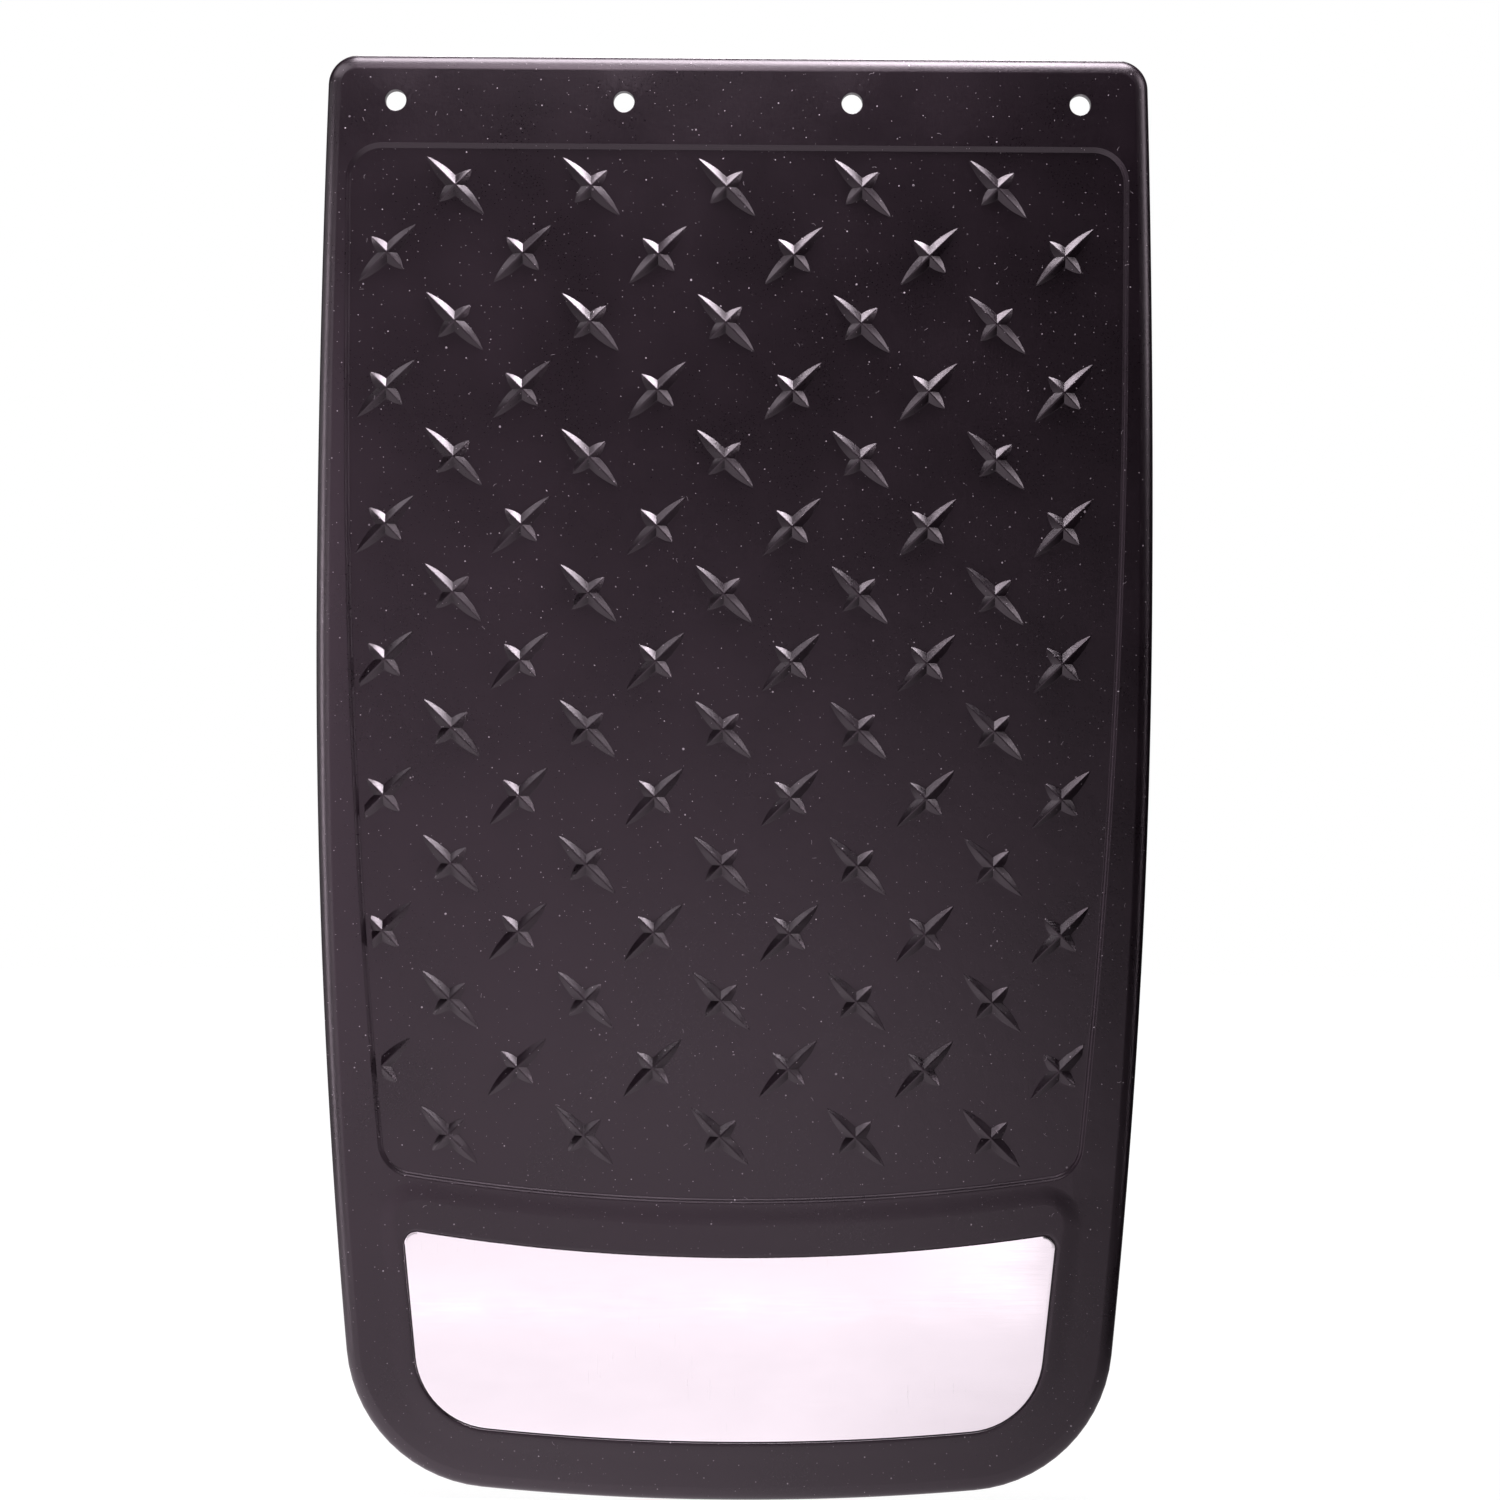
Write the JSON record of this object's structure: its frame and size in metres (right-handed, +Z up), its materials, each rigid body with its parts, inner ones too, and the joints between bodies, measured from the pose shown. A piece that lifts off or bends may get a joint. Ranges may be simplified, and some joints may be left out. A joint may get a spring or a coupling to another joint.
{
  "type": "mud flap",
  "caption": "Rounded moulded rubber mud flap with raised four-armed stars on a recessed field, a rolled rim, a row of mounting holes and a curved stainless trim plate.",
  "frame": {"origin": "centre of the row of four mounting holes, on the back face of the mounting pad", "axes": "+Z up along the flap, front face with the stars and the plate towards -Y, back face towards +Y, X across"},
  "size_m": [0.2798, 0.0129, 0.4826],
  "materials": {
    "flap_rubber": "satin black moulded rubber with a fine grain",
    "polished_stainless": "bright polished stainless steel",
    "stud_steel": "stainless steel",
    "washer_steel": "zinc plated steel",
    "nut_steel": "zinc plated steel"
  },
  "bodies": {
    "root": {"flap_moulding": "flap_rubber", "trim_plate": "polished_stainless", "plate_stud_1": "stud_steel", "flat_washer_1": "washer_steel", "lock_nut_1": "nut_steel", "plate_stud_2": "stud_steel", "flat_washer_2": "washer_steel", "lock_nut_2": "nut_steel", "plate_stud_3": "stud_steel", "flat_washer_3": "washer_steel", "lock_nut_3": "nut_steel", "plate_stud_4": "stud_steel", "flat_washer_4": "washer_steel", "lock_nut_4": "nut_steel", "plate_stud_5": "stud_steel", "flat_washer_5": "washer_steel", "lock_nut_5": "nut_steel"}
  },
  "joints": []
}
